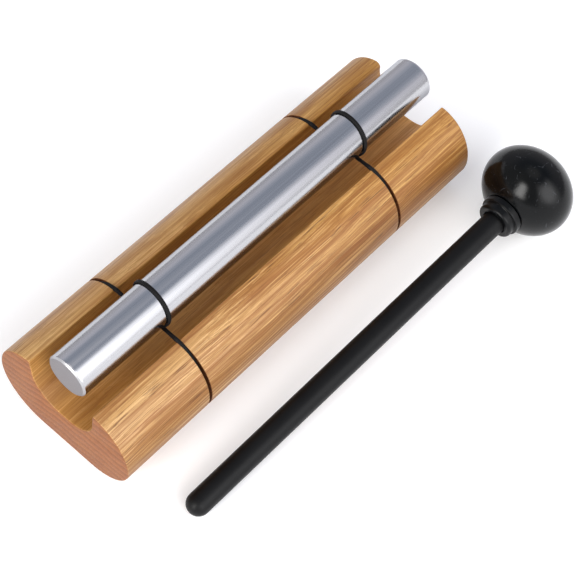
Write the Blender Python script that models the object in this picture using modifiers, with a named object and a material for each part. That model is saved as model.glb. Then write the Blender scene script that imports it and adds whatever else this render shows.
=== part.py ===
"""Single-rod hand chime with its mallet.

A hardwood block has an open channel along its top. An aluminium rod lies over the channel, held at its two
still points by elastic cord loops. Each loop runs in a narrow saw kerf round the block, crosses to the rod
from both ridges, and takes one turn round it. The mallet is a straight handle with a flattened ball head
and a neck collar, and lies on the same surface as the block.

Metres, +Z up. The origin is the middle of the block's flat underside. The rod lies along Y.
"""
import math

import bmesh
import bpy
from mathutils import Vector

MM = 0.001

# Block
BLOCK_LENGTH = 203 * MM
FLAT_HALF_WIDTH = 13.5 * MM        # flat part of the underside, each side of the middle
BELLY_RADIUS = 20.9 * MM           # round lower corners, which end at the widest line
SHOULDER_CENTRE_X = 16.5 * MM      # upper side: a quarter ellipse from the widest line to the ridge
SHOULDER_WIDTH = 17.9 * MM
SHOULDER_HEIGHT = 21.4 * MM
SHOULDER_END_DEG = 88
BLOCK_EDGE_ROUND = 0.6 * MM
RIDGE_Z = BELLY_RADIUS + SHOULDER_HEIGHT

# Channel
CHANNEL_HALF_WIDTH = 16.8 * MM     # at the ridges
CHANNEL_WALL_FOOT_X = 16.0 * MM    # the walls lean in slightly
CHANNEL_COVE_RADIUS = 13.5 * MM
CHANNEL_FLOOR_Z = 21.3 * MM

# Kerfs for the cords
KERF_Y = {"front": -56.5 * MM, "rear": 56.2 * MM}
KERF_WIDTH = 1.5 * MM
KERF_FLOOR_Z = 2.4 * MM            # depth of the kerf across the underside
KERF_SIDE_DEPTH = 4.5 * MM         # depth at the widest line
KERF_RIDGE_DEPTH = 0.8 * MM
KERF_TOP_CENTRE_X = 15.5 * MM
KNOT_POCKET_RADIUS = 4.0 * MM
KNOT_POCKET_DEPTH = 5.6 * MM

# Rod
ROD_DIAMETER = 19.05 * MM
ROD_LENGTH = 200 * MM
ROD_SHIFT_Y = 2 * MM               # the rod sits this far off the block's middle
ROD_Z = 46.8 * MM
ROD_CHAMFER = 0.8 * MM

# Cords: elastic, thinner where they are stretched most
CORD_RADIUS_WRAP = 0.75 * MM
CORD_RADIUS_SPAN = 0.62 * MM
CORD_RADIUS_KERF = 0.55 * MM
CORD_GAP = 0.2 * MM                # clear space between a cord and what it bears on
# One turn round the rod: angle in degrees, lift off the rod's surface and drift along it in millimetres.
# The leaving strand crosses over the arriving one below the rod.
WRAP_ROUTE = [
    (-112, 0.0, 1.5),
    (-60, 0.0, 2.0),
    (15, 0.0, 2.6),
    (95, 0.0, 3.3),
    (150, 0.0, 3.9),
    (210, 0.0, 4.0),
    (245, 0.0, 3.6),
    (265, 1.0, 3.2),
    (300, 1.8, 2.6),
]
WRAP_DRIFT_SCALE = {"front": 1.0, "rear": 1.35}
WRAP_STEP_DEG = 12                 # largest turn between two points
KNOT_HALF_LENGTH = 2.1 * MM
KNOT_RADIUS = 1.6 * MM

# Mallet, drawn along its own +Z from the centre of the handle's rounded tip
MALLET_TIP = Vector((56.8 * MM, -86.8 * MM, 5.05 * MM))
MALLET_HEAD = Vector((62.1 * MM, 107.0 * MM, 20.7 * MM))
MALLET_REACH = (MALLET_HEAD - MALLET_TIP).length
HANDLE_RADIUS_TIP = 5.0 * MM
HANDLE_RADIUS_NECK = 5.15 * MM
HANDLE_END_CHAMFER = 0.5 * MM
HEAD_RADIUS = 20.6 * MM
HEAD_HALF_LENGTH = 16.8 * MM
HEAD_SEAT = 14.9 * MM              # flat seat for the collar, measured back from the head's centre
BORE_RADIUS = 5.45 * MM
BORE_DEPTH = 2.0 * MM              # the bore ends this far past the head's centre
FIT_GAP = 0.3 * MM
COLLAR_RADIUS = 9.3 * MM
COLLAR_STEP_RADIUS = 8.3 * MM
COLLAR_LENGTH = 6.4 * MM
COLLAR_STEP_AT = 2.9 * MM          # length of the wide part of the collar

ARC_STEPS = 14
KERF_STEPS = 9
TURN_STEPS = 48


def clear_scene():
    """Empty the file, so that the model is all that is in it."""
    for thing in list(bpy.data.objects):
        bpy.data.objects.remove(thing, do_unlink=True)


def collection(name):
    """A new collection in the scene."""
    made = bpy.data.collections.new(name)
    bpy.context.scene.collection.children.link(made)
    return made


def material(name, colour, roughness, metallic=0.0):
    """A plain Principled material."""
    made = bpy.data.materials.new(name)
    made.use_nodes = True
    shader = made.node_tree.nodes["Principled BSDF"]
    shader.inputs["Base Color"].default_value = (*colour, 1)
    shader.inputs["Roughness"].default_value = roughness
    shader.inputs["Metallic"].default_value = metallic
    return made


def place(thing, group, finish=None):
    """Put an object in a collection, and nowhere else, with its material."""
    for owner in list(thing.users_collection):
        owner.objects.unlink(thing)
    group.objects.link(thing)
    if finish:
        thing.data.materials.clear()
        thing.data.materials.append(finish)


def mark_cutter(thing, group):
    """Cutters are guides: out of the render, and drawn as wires."""
    place(thing, group)
    thing.hide_render = True
    thing.display_type = "WIRE"


def quarter(centre_x, centre_z, width, height, start_deg, end_deg, steps=ARC_STEPS):
    """Points along an ellipse's arc in the block's cross-section."""
    points = []
    for i in range(steps + 1):
        angle = math.radians(start_deg + (end_deg - start_deg) * i / steps)
        points.append((centre_x + width * math.cos(angle), centre_z + height * math.sin(angle)))
    return points


def mirrored(right_half):
    """A closed outline from its right half, which runs from the bottom to the top."""
    return right_half + [(-x, z) for x, z in reversed(right_half)]


def block_outline():
    """The block's cross-section with its channel."""
    belly = quarter(FLAT_HALF_WIDTH, BELLY_RADIUS, BELLY_RADIUS, BELLY_RADIUS, -90, 0)
    shoulder = quarter(
        SHOULDER_CENTRE_X, BELLY_RADIUS, SHOULDER_WIDTH, SHOULDER_HEIGHT, 0, SHOULDER_END_DEG
    )
    cove_x = CHANNEL_WALL_FOOT_X - CHANNEL_COVE_RADIUS
    cove_z = CHANNEL_FLOOR_Z + CHANNEL_COVE_RADIUS
    cove = quarter(cove_x, cove_z, CHANNEL_COVE_RADIUS, CHANNEL_COVE_RADIUS, 0, -90)
    return mirrored(belly + shoulder[1:] + [(CHANNEL_HALF_WIDTH, RIDGE_Z)] + cove)


def kerf_floor_outline(outward=0.0):
    """The right half of the closed line that the kerfs are cut down to, moved outward by a distance."""
    side_x = FLAT_HALF_WIDTH + BELLY_RADIUS - KERF_SIDE_DEPTH + outward
    top_z = RIDGE_Z - KERF_RIDGE_DEPTH + outward
    bottom_z = KERF_FLOOR_Z - outward
    lower_x = side_x - FLAT_HALF_WIDTH
    upper_x = side_x - KERF_TOP_CENTRE_X
    lower = quarter(FLAT_HALF_WIDTH, BELLY_RADIUS, lower_x, BELLY_RADIUS - bottom_z, -90, 0, KERF_STEPS)
    upper = quarter(KERF_TOP_CENTRE_X, BELLY_RADIUS, upper_x, top_z - BELLY_RADIUS, 0, 90, KERF_STEPS)
    return lower + upper[1:]


def flat_curve(name, outlines, half_thickness):
    """A flat filled curve in the XZ plane, thick along Y. A second outline inside the first is a hole."""
    data = bpy.data.curves.new(name, "CURVE")
    data.dimensions = "2D"
    data.fill_mode = "BOTH"
    data.extrude = half_thickness
    data.resolution_u = 1
    data.render_resolution_u = 0
    for outline in outlines:
        spline = data.splines.new("POLY")
        spline.points.add(len(outline) - 1)
        for point, (x, z) in zip(spline.points, outline):
            point.co = (x, z, 0, 1)
        spline.use_cyclic_u = True
    thing = bpy.data.objects.new(name, data)
    thing.rotation_euler = (math.pi / 2, 0, 0)
    bpy.context.scene.collection.objects.link(thing)
    return thing


def to_mesh(curve):
    """A curve as a mesh object with its caps welded, which modifiers can cut."""
    bpy.context.view_layer.update()
    evaluated = curve.evaluated_get(bpy.context.evaluated_depsgraph_get())
    mesh = bpy.data.meshes.new_from_object(evaluated)
    work = bmesh.new()
    work.from_mesh(mesh)
    bmesh.ops.remove_doubles(work, verts=work.verts, dist=0.00001)
    bmesh.ops.recalc_face_normals(work, faces=work.faces)
    work.to_mesh(mesh)
    work.free()
    name = curve.name
    matrix = curve.matrix_world.copy()
    bpy.data.objects.remove(curve, do_unlink=True)
    thing = bpy.data.objects.new(name, mesh)
    thing.matrix_world = matrix
    bpy.context.scene.collection.objects.link(thing)
    return thing


def cut(thing, cutter):
    """Take a cutter out of a piece."""
    boolean = thing.modifiers.new(cutter.name, "BOOLEAN")
    boolean.operation = "DIFFERENCE"
    boolean.solver = "EXACT"
    boolean.object = cutter


def make_kerf_cutter(end, cutters):
    """A thin closed band: everything outside the kerf's floor line."""
    reach = 12 * MM
    side = FLAT_HALF_WIDTH + BELLY_RADIUS + reach
    outer = [(side, -reach), (side, RIDGE_Z + reach), (-side, RIDGE_Z + reach), (-side, -reach)]
    inner = mirrored(kerf_floor_outline())
    cutter = to_mesh(flat_curve(f"{end}_kerf_cutter", [outer, inner], KERF_WIDTH / 2))
    cutter.location.y = KERF_Y[end]
    mark_cutter(cutter, cutters)
    return cutter


def make_pocket_cutter(end, cutters):
    """A round pocket in the underside, deeper than the kerf, for the cord's knot."""
    below = 2 * MM
    bpy.ops.mesh.primitive_cylinder_add(
        vertices=32,
        radius=KNOT_POCKET_RADIUS,
        depth=KNOT_POCKET_DEPTH + below,
        location=(0, KERF_Y[end], (KNOT_POCKET_DEPTH - below) / 2),
    )
    cutter = bpy.context.object
    cutter.name = f"{end}_pocket_cutter"
    mark_cutter(cutter, cutters)
    return cutter


def make_block(parts, cutters, finish):
    """The wood block: extruded section, softened edges, two kerfs and two knot pockets."""
    block = to_mesh(flat_curve("wood_block", [block_outline()], BLOCK_LENGTH / 2))
    edges = block.modifiers.new("edges", "BEVEL")
    edges.width = BLOCK_EDGE_ROUND
    edges.segments = 2
    edges.limit_method = "ANGLE"
    edges.angle_limit = math.radians(40)
    for end in KERF_Y:
        cut(block, make_kerf_cutter(end, cutters))
        cut(block, make_pocket_cutter(end, cutters))
    place(block, parts, finish)
    return block


def make_rod(parts, finish):
    """The sounding rod, with a small chamfer round each end."""
    bpy.ops.mesh.primitive_cylinder_add(
        vertices=64,
        radius=ROD_DIAMETER / 2,
        depth=ROD_LENGTH,
        location=(0, ROD_SHIFT_Y, ROD_Z),
        rotation=(math.pi / 2, 0, 0),
    )
    rod = bpy.context.object
    rod.name = "chime_rod"
    chamfer = rod.modifiers.new("chamfer", "BEVEL")
    chamfer.width = ROD_CHAMFER
    chamfer.segments = 1
    chamfer.limit_method = "ANGLE"
    chamfer.angle_limit = math.radians(60)
    rod.data.shade_smooth()
    rod.data.set_sharp_from_angle(angle=math.radians(40))
    place(rod, parts, finish)
    return rod


def catmull(before, start, end, after, t):
    """A smooth value between start and end."""
    return 0.5 * (
        2 * start
        + (end - before) * t
        + (2 * before - 5 * start + 4 * end - after) * t * t
        + (3 * start - before - 3 * end + after) * t * t * t
    )


def wrap_points(end):
    """The turn round the rod, as points with their radius, from the left strand to the right one."""
    scale = WRAP_DRIFT_SCALE[end]
    rows = [WRAP_ROUTE[0]] + WRAP_ROUTE + [WRAP_ROUTE[-1]]
    path = []
    for four in zip(rows, rows[1:], rows[2:], rows[3:]):
        steps = math.ceil((four[2][0] - four[1][0]) / WRAP_STEP_DEG)
        for k in range(steps):
            angle = four[1][0] + (four[2][0] - four[1][0]) * k / steps
            lift, drift = [catmull(*[row[n] for row in four], k / steps) for n in (1, 2)]
            path.append((angle, lift, drift))
    path.append(WRAP_ROUTE[-1])
    points = []
    for angle, lift, drift in path:
        turn = math.radians(angle)
        reach = ROD_DIAMETER / 2 + CORD_GAP + CORD_RADIUS_WRAP + lift * MM
        along = KERF_Y[end] + drift * scale * MM
        at = Vector((reach * math.cos(turn), along, ROD_Z + reach * math.sin(turn)))
        points.append((at, CORD_RADIUS_WRAP))
    return points


def kerf_points(end, side):
    """One side of the loop, from beside the knot up to the ridge. side is 1 for +X and -1 for -X."""
    line = kerf_floor_outline(CORD_GAP + CORD_RADIUS_KERF)
    low_z = line[0][1]
    start = KNOT_HALF_LENGTH + CORD_GAP
    points = [(Vector((side * start, KERF_Y[end], low_z)), CORD_RADIUS_KERF)]
    points += [(Vector((side * x, KERF_Y[end], z)), CORD_RADIUS_KERF) for x, z in line]
    # over the ridge's corner
    return points[:-1] + [(points[-1][0] + Vector((0, 0, 0.05 * MM)), CORD_RADIUS_SPAN)]


def cord_route(end):
    """The whole cord: left kerf, left span, the turn round the rod, right span, right kerf."""
    left = kerf_points(end, -1)
    right = kerf_points(end, 1)
    wrap = wrap_points(end)
    spans = []
    for outer, inner in ((left[-1][0], wrap[0][0]), (wrap[-1][0], right[-1][0])):
        spans.append([(outer.lerp(inner, t), CORD_RADIUS_SPAN) for t in (0.35, 0.7)])
    return left + spans[0] + wrap + spans[1] + list(reversed(right))


def make_cord(end, parts, finish):
    """One elastic cord, from one side of its knot round to the other."""
    route = cord_route(end)
    data = bpy.data.curves.new(f"{end}_cord", "CURVE")
    data.dimensions = "3D"
    data.bevel_depth = CORD_RADIUS_WRAP
    data.bevel_resolution = 2
    data.use_fill_caps = True
    data.resolution_u = 1
    data.render_resolution_u = 0
    spline = data.splines.new("POLY")
    spline.points.add(len(route) - 1)
    for point, (at, radius) in zip(spline.points, route):
        point.co = (*at, 1)
        point.radius = radius / CORD_RADIUS_WRAP
    cord = bpy.data.objects.new(f"{end}_cord", data)
    place(cord, parts, finish)
    return cord


def make_knot(end, parts, finish):
    """The lump of the knot that closes a cord loop, in its pocket."""
    bpy.ops.mesh.primitive_uv_sphere_add(segments=16, ring_count=10, radius=1)
    knot = bpy.context.object
    knot.name = f"{end}_cord_knot"
    knot.scale = (KNOT_HALF_LENGTH, KNOT_RADIUS, KNOT_RADIUS)
    bpy.ops.object.transform_apply(location=False, rotation=False, scale=True)
    knot.location = (0, KERF_Y[end], kerf_floor_outline(CORD_GAP + CORD_RADIUS_KERF)[0][1] + 0.5 * MM)
    knot.data.shade_smooth()
    place(knot, parts, finish)
    return knot


def turned(name, profile, parent, parts, finish, closed=False):
    """A turned piece: a profile in the XZ plane, spun about the mallet's axis."""
    mesh = bpy.data.meshes.new(name)
    work = bmesh.new()
    corners = [work.verts.new((x, 0, z)) for x, z in profile]
    pairs = list(zip(corners, corners[1:]))
    if closed:
        pairs.append((corners[-1], corners[0]))
    for pair in pairs:
        work.edges.new(pair)
    work.to_mesh(mesh)
    work.free()
    thing = bpy.data.objects.new(name, mesh)
    thing.parent = parent
    spin = thing.modifiers.new("spin", "SCREW")
    spin.steps = TURN_STEPS
    spin.render_steps = TURN_STEPS
    spin.use_merge_vertices = True
    spin.merge_threshold = 0.00001
    spin.use_smooth_shade = True
    place(thing, parts, finish)
    return thing


def dome(radius, height, base_z, steps=6):
    """A rounded lower end, from its full radius down to the axis."""
    points = []
    for i in range(1, steps + 1):
        angle = math.pi / 2 * i / steps
        points.append((radius * math.cos(angle), base_z - height * math.sin(angle)))
    points[-1] = (0, base_z - height)
    return points


def handle_profile():
    """The handle: straight, slightly thicker at the neck, with a rounded tip."""
    top = MALLET_REACH + BORE_DEPTH - FIT_GAP
    profile = [
        (0, top),
        (HANDLE_RADIUS_NECK - HANDLE_END_CHAMFER, top),
        (HANDLE_RADIUS_NECK, top - HANDLE_END_CHAMFER),
        (HANDLE_RADIUS_TIP, 0),
    ]
    return profile + dome(HANDLE_RADIUS_TIP, HANDLE_RADIUS_TIP, 0)


def head_profile():
    """The flattened ball, with a flat seat for the collar and a blind bore for the handle."""
    steps = 22
    end_angle = -math.asin(HEAD_SEAT / HEAD_HALF_LENGTH)
    profile = []
    for i in range(steps + 1):
        angle = math.pi / 2 + (end_angle - math.pi / 2) * i / steps
        profile.append((HEAD_RADIUS * math.cos(angle), MALLET_REACH + HEAD_HALF_LENGTH * math.sin(angle)))
    profile[0] = (0, MALLET_REACH + HEAD_HALF_LENGTH)
    seat_z = MALLET_REACH - HEAD_SEAT
    bore_z = MALLET_REACH + BORE_DEPTH
    return profile + [(BORE_RADIUS, seat_z), (BORE_RADIUS, bore_z), (0, bore_z)]


def collar_profile():
    """The neck collar's cross-section: a wide ring, a step, and a narrower rounded ring."""
    top = MALLET_REACH - HEAD_SEAT - FIT_GAP
    step = top - COLLAR_STEP_AT
    end = top - COLLAR_LENGTH
    soft = 0.6 * MM
    big = 1.3 * MM
    return [
        (COLLAR_RADIUS, top),
        (COLLAR_RADIUS, step + soft),
        (COLLAR_RADIUS - soft, step),
        (COLLAR_STEP_RADIUS, step - soft / 2),
        (COLLAR_STEP_RADIUS, end + big),
        (COLLAR_STEP_RADIUS - 0.4 * big, end + 0.35 * big),
        (COLLAR_STEP_RADIUS - big, end),
        (BORE_RADIUS, end),
        (BORE_RADIUS, top),
    ]


def make_mallet(parts, plastic, rubber, ring):
    """The mallet: three turned pieces on one tilted axis."""
    axis = bpy.data.objects.new("mallet_axis", None)
    axis.empty_display_size = 10 * MM
    axis.location = MALLET_TIP
    axis.rotation_mode = "QUATERNION"
    axis.rotation_quaternion = (MALLET_HEAD - MALLET_TIP).to_track_quat("Z", "Y")
    parts.objects.link(axis)
    turned("mallet_handle", handle_profile(), axis, parts, plastic)
    turned("mallet_head", head_profile(), axis, parts, rubber)
    turned("mallet_collar", collar_profile(), axis, parts, ring, closed=True)


def main():
    """Build every piece."""
    clear_scene()
    parts = collection("hand_chime")
    cutters = collection("cutters")
    wood = material("oiled_hardwood", (0.55, 0.33, 0.16), 0.5)
    aluminium = material("satin_aluminium", (0.80, 0.80, 0.82), 0.25, 1.0)
    elastic = material("black_elastic", (0.02, 0.02, 0.022), 0.6)
    plastic = material("black_plastic", (0.02, 0.02, 0.022), 0.45)
    rubber = material("black_rubber", (0.015, 0.015, 0.017), 0.3)
    ring = material("black_collar", (0.018, 0.018, 0.02), 0.35)
    make_block(parts, cutters, wood)
    make_rod(parts, aluminium)
    for end in KERF_Y:
        make_cord(end, parts, elastic)
        make_knot(end, parts, elastic)
    make_mallet(parts, plastic, rubber, ring)
    bpy.context.view_layer.update()


main()
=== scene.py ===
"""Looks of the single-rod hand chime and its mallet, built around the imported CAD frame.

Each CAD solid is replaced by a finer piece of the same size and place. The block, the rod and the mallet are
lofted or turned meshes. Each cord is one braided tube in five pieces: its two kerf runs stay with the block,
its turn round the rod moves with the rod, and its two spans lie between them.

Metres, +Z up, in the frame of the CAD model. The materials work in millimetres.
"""

import math

import bmesh
import bpy
import numpy as np
from mathutils import Matrix, Vector


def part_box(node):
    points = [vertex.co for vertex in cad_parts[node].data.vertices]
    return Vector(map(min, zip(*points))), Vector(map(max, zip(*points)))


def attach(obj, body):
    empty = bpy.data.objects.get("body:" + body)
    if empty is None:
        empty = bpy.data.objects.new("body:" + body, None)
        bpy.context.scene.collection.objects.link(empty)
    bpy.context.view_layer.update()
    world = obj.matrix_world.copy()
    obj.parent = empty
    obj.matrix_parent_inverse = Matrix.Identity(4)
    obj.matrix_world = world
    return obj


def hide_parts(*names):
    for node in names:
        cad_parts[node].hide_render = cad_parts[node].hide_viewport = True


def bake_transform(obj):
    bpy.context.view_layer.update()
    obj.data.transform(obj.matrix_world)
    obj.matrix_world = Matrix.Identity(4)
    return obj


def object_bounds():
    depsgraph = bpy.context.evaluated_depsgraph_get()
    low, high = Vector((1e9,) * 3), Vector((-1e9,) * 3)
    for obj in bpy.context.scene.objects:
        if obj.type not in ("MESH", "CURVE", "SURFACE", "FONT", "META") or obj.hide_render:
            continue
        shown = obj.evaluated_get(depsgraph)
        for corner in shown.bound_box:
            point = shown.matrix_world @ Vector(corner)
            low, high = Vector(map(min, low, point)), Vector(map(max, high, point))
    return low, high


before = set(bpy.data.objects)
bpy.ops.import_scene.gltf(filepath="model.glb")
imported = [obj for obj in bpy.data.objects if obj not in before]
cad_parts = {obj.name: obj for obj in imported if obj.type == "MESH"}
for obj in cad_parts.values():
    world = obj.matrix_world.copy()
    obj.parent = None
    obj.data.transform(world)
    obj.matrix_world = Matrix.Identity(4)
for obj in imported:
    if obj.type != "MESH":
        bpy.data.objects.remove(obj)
CAD_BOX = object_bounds()

MM = 0.001

# Block: its outer sizes come from the frame, and the shape of its section is the CAD model's
BLOCK_LOW, BLOCK_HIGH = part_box("wood_block")
FLAT_HALF_WIDTH = 13.5 * MM
BELLY_RADIUS = BLOCK_HIGH.x - FLAT_HALF_WIDTH
SHOULDER_CENTRE_X = 16.5 * MM
SHOULDER_WIDTH = BLOCK_HIGH.x - SHOULDER_CENTRE_X
RIDGE_Z = BLOCK_HIGH.z
SHOULDER_HEIGHT = RIDGE_Z - BELLY_RADIUS
RIDGE_ROUND = 0.6 * MM             # the edge between a ridge and the channel's wall
WORN_ROUND = 2.4 * MM              # the same edge at the left ridge's far end, where it is worn rounder
WORN_FROM_Y = 62 * MM
END_ROUND = 0.55 * MM
CHANNEL_HALF_WIDTH = 16.8 * MM
CHANNEL_WALL_FOOT_X = 16.0 * MM
CHANNEL_COVE_RADIUS = 13.5 * MM
CHANNEL_FLOOR_Z = 21.3 * MM
COVE_CENTRE_Z = CHANNEL_FLOOR_Z + CHANNEL_COVE_RADIUS

# Kerfs and knot pockets
ENDS = ("front", "rear")
KERF_Y = {end: (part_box(f"{end}_cord_knot")[0].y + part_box(f"{end}_cord_knot")[1].y) / 2 for end in ENDS}
KERF_WIDTH = 1.5 * MM
KERF_FLOOR_Z = 2.4 * MM
KERF_SIDE_DEPTH = 4.5 * MM
KERF_RIDGE_DEPTH = 0.8 * MM
KERF_TOP_CENTRE_X = 15.5 * MM
KERF_EDGE_SOFT = 0.12 * MM
KNOT_POCKET_RADIUS = 4.0 * MM
KNOT_POCKET_DEPTH = 5.6 * MM
KNOT_POCKET_SOFT = 0.5 * MM

# Rod
ROD_LOW, ROD_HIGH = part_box("chime_rod")
ROD_RADIUS = (ROD_HIGH.x - ROD_LOW.x) / 2
ROD_Z = (ROD_HIGH.z + ROD_LOW.z) / 2
ROD_CHAMFER = 0.8 * MM
ROD_EDGE_SOFT = 0.12 * MM

# Cords
CORD_RADIUS_WRAP = 0.85 * MM
CORD_RADIUS_SPAN = 0.8 * MM
CORD_RADIUS_KERF = 0.55 * MM
CORD_RADIUS_RIDGE = 0.92 * MM      # where the cord bulges out of the kerf over the ridge
CORD_SINKS_Z = 29 * MM             # below this height the cord lies deep in its kerf
CORD_GAP = 0.2 * MM
CORD_TOP_LIFT = 0.05 * MM          # the last point over the ridge, where the cord starts to rise to the rod
SPAN_POINTS = (0.35, 0.7)          # places of a span's own two points, as shares of it
WRAP_HALF_THICKNESS = 0.5 * MM     # the stretched cord is pressed flat on the rod
WRAP_FLAT_BELOW = 1.0 * MM         # a cord whose middle is this near the rod's surface is pressed quite flat
WRAP_ROUND_ABOVE = 2.5 * MM        # and from here on it is round
WRAP_GAP = 0.03 * MM
WRAP_LIFT = 0.8                    # share of the CAD model's lift, as the flattened strands cross lower
# One turn round the rod, as in the CAD model: angle in degrees, lift and drift along the rod in millimetres
WRAP_ROUTE = [
    (-112, 0.0, 1.5),
    (-60, 0.0, 2.0),
    (15, 0.0, 2.6),
    (95, 0.0, 3.3),
    (150, 0.0, 3.9),
    (210, 0.0, 4.0),
    (245, 0.0, 3.6),
    (265, 1.0, 3.2),
    (300, 1.8, 2.6),
]
WRAP_DRIFT_SCALE = {"front": 1.0, "rear": 1.35}
# A cord's pieces in order along it, each with the body it rides on. A span lies between base and rod and
# rides on none.
CORD_PIECES = [
    ("kerf_run_left", "base"),
    ("span_left", None),
    ("turn_on_rod", "rod"),
    ("span_right", None),
    ("kerf_run_right", "base"),
]
KNOT_HALF_LENGTH = 2.1 * MM
KNOT_RADIUS = 1.6 * MM
KNOT_CORD_RADIUS = 0.5 * MM
BRAID_SIDES = 16
BRAID_STEP = 0.3 * MM              # distance between two rings of a cord's tube
BRAID_PITCH = 3.0 * MM
BRAID_STRANDS = 4                  # bulges round the cord, each way
BRAID_RELIEF = 0.05                # share of the cord's radius

# Mallet
HANDLE_TIP_RADIUS = 5.0 * MM
HANDLE_END_CHAMFER = 0.5 * MM
BORE_RADIUS = 5.45 * MM
BORE_PAST_CENTRE = 2.0 * MM
HEAD_HALF_LENGTH = 16.8 * MM
HEAD_EDGE_SOFT = 0.3 * MM
COLLAR_STEP_RADIUS = 8.3 * MM
COLLAR_STEP_AT = 2.9 * MM
COLLAR_RING_ROUND = 0.45 * MM
COLLAR_NECK_ROUND = 1.2 * MM
COLLAR_EDGE_CHAMFER = 0.2 * MM
COLLAR_STEP_CHAMFER = 0.15 * MM
INSIDE_CAD = 0.05 * MM             # a fine round shape bulges past the CAD model's flats by about this much

# How finely the meshes are divided
ARC_STEPS = 40
RIDGE_ARC_STEPS = 8
END_STEPS = 4
WORN_STEPS = 16
KERF_LINE_STEPS = 18
WRAP_STEP_DEG = 6
TURN_STEPS = 128
SUPPORT = 0.5 * MM                 # from a soft edge to the next section, to keep the shading beside it flat

# Camera
CAMERA_TARGET = Vector((13.74 * MM, 11.67 * MM, 0))
CAMERA_DISTANCE = 699.74 * MM
CAMERA_AZIMUTH_DEG = 37.70
CAMERA_ELEVATION_DEG = 57.04
CAMERA_ROLL_DEG = 5.23
CAMERA_LENS_MM = 105.32
CAMERA_SENSOR_MM = 36


# ---------------------------------------------------------------- meshes

def new_piece(name, points, faces, uvs=None):
    """A smooth-shaded mesh object. uvs has one pair for each point of each face."""
    mesh = bpy.data.meshes.new(name)
    mesh.from_pydata([tuple(p) for p in points], [], faces)
    if uvs:
        layer = mesh.uv_layers.new(name="along_cord")
        for loop, uv in zip(layer.data, uvs):
            loop.uv = uv
    mesh.validate()
    mesh.shade_smooth()
    piece = bpy.data.objects.new(name, mesh)
    bpy.context.scene.collection.objects.link(piece)
    return piece


def clean(piece, merge=0.002 * MM):
    """Merge points that coincide, drop faces with no area and face everything outward."""
    work = bmesh.new()
    work.from_mesh(piece.data)
    bmesh.ops.remove_doubles(work, verts=work.verts, dist=merge)
    bmesh.ops.dissolve_degenerate(work, edges=work.edges, dist=merge)
    bmesh.ops.recalc_face_normals(work, faces=work.faces)
    work.to_mesh(piece.data)
    work.free()


def crisp(piece, degrees):
    """Smooth shading, with a sharp edge wherever two faces meet at more than this angle."""
    piece.data.shade_smooth()
    piece.data.set_sharp_from_angle(angle=math.radians(degrees))


def loft_faces(ring_count, size):
    """Quads between rings of points, each ring closed."""
    faces = []
    for r in range(ring_count - 1):
        low = r * size
        for k in range(size):
            after = (k + 1) % size
            faces.append((low + k, low + after, low + size + after, low + size + k))
    return faces


def turned(name, profile, axis, steps=TURN_STEPS):
    """A turned piece from (radius, distance along the axis) pairs. axis is (point, direction)."""
    origin, along = axis
    side = along.orthogonal().normalized()
    across = along.cross(side)
    points = []
    rings = []
    for radius, reach in profile:
        centre = origin + along * reach
        if radius == 0:
            rings.append([len(points)])
            points.append(centre)
            continue
        rings.append(list(range(len(points), len(points) + steps)))
        for k in range(steps):
            turn = 2 * math.pi * k / steps
            points.append(centre + (side * math.cos(turn) + across * math.sin(turn)) * radius)
    faces = []
    for low, high in zip(rings, rings[1:]):
        for k in range(steps):
            after = (k + 1) % steps
            corners = [low[k % len(low)], low[after % len(low)], high[after % len(high)], high[k % len(high)]]
            faces.append(tuple(dict.fromkeys(corners)))
    piece = new_piece(name, points, faces)
    clean(piece)
    return piece


def arc(centre, width, height, start_deg, end_deg, steps):
    """Points along an ellipse's arc, both ends included."""
    points = []
    for i in range(steps + 1):
        angle = math.radians(start_deg + (end_deg - start_deg) * i / steps)
        points.append((centre[0] + width * math.cos(angle), centre[1] + height * math.sin(angle)))
    return points


def smooth_between(before, start, end, after, t):
    """A Catmull-Rom value between start and end."""
    return 0.5 * (
        2 * start
        + (end - before) * t
        + (2 * before - 5 * start + 4 * end - after) * t * t
        + (3 * start - before - 3 * end + after) * t * t * t
    )


def share_of(value, low, high):
    """How far a value is from low to high, kept between 0 and 1."""
    return min(1, max(0, (value - low) / (high - low)))


def eased(share):
    """A share from 0 to 1 that starts and ends gently."""
    return share * share * (3 - 2 * share)


def apply_modifiers(piece):
    """Make a piece's modifiers part of its mesh."""
    bpy.context.view_layer.update()
    depsgraph = bpy.context.evaluated_depsgraph_get()
    made = bpy.data.meshes.new_from_object(piece.evaluated_get(depsgraph))
    piece.modifiers.clear()
    piece.data = made


def dress(piece, body, finish, node):
    """Give a piece its material, body and slot, and hide the CAD node it stands for."""
    piece.data.materials.clear()
    piece.data.materials.append(finish)
    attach(piece, body)
    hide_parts(node)


# ---------------------------------------------------------------- wood block

def wall_x(z):
    """Half the channel's width at a height on its leaning walls."""
    share = (z - COVE_CENTRE_Z) / (RIDGE_Z - COVE_CENTRE_Z)
    return CHANNEL_WALL_FOOT_X + (CHANNEL_HALF_WIDTH - CHANNEL_WALL_FOOT_X) * share


def channel_half(inset):
    """The channel's cove from the foot of its wall to its floor, sunk into the wood by inset."""
    centre = (CHANNEL_WALL_FOOT_X - CHANNEL_COVE_RADIUS, COVE_CENTRE_Z)
    radius = CHANNEL_COVE_RADIUS + inset
    return arc(centre, radius, radius, 0, -90, ARC_STEPS)


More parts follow.
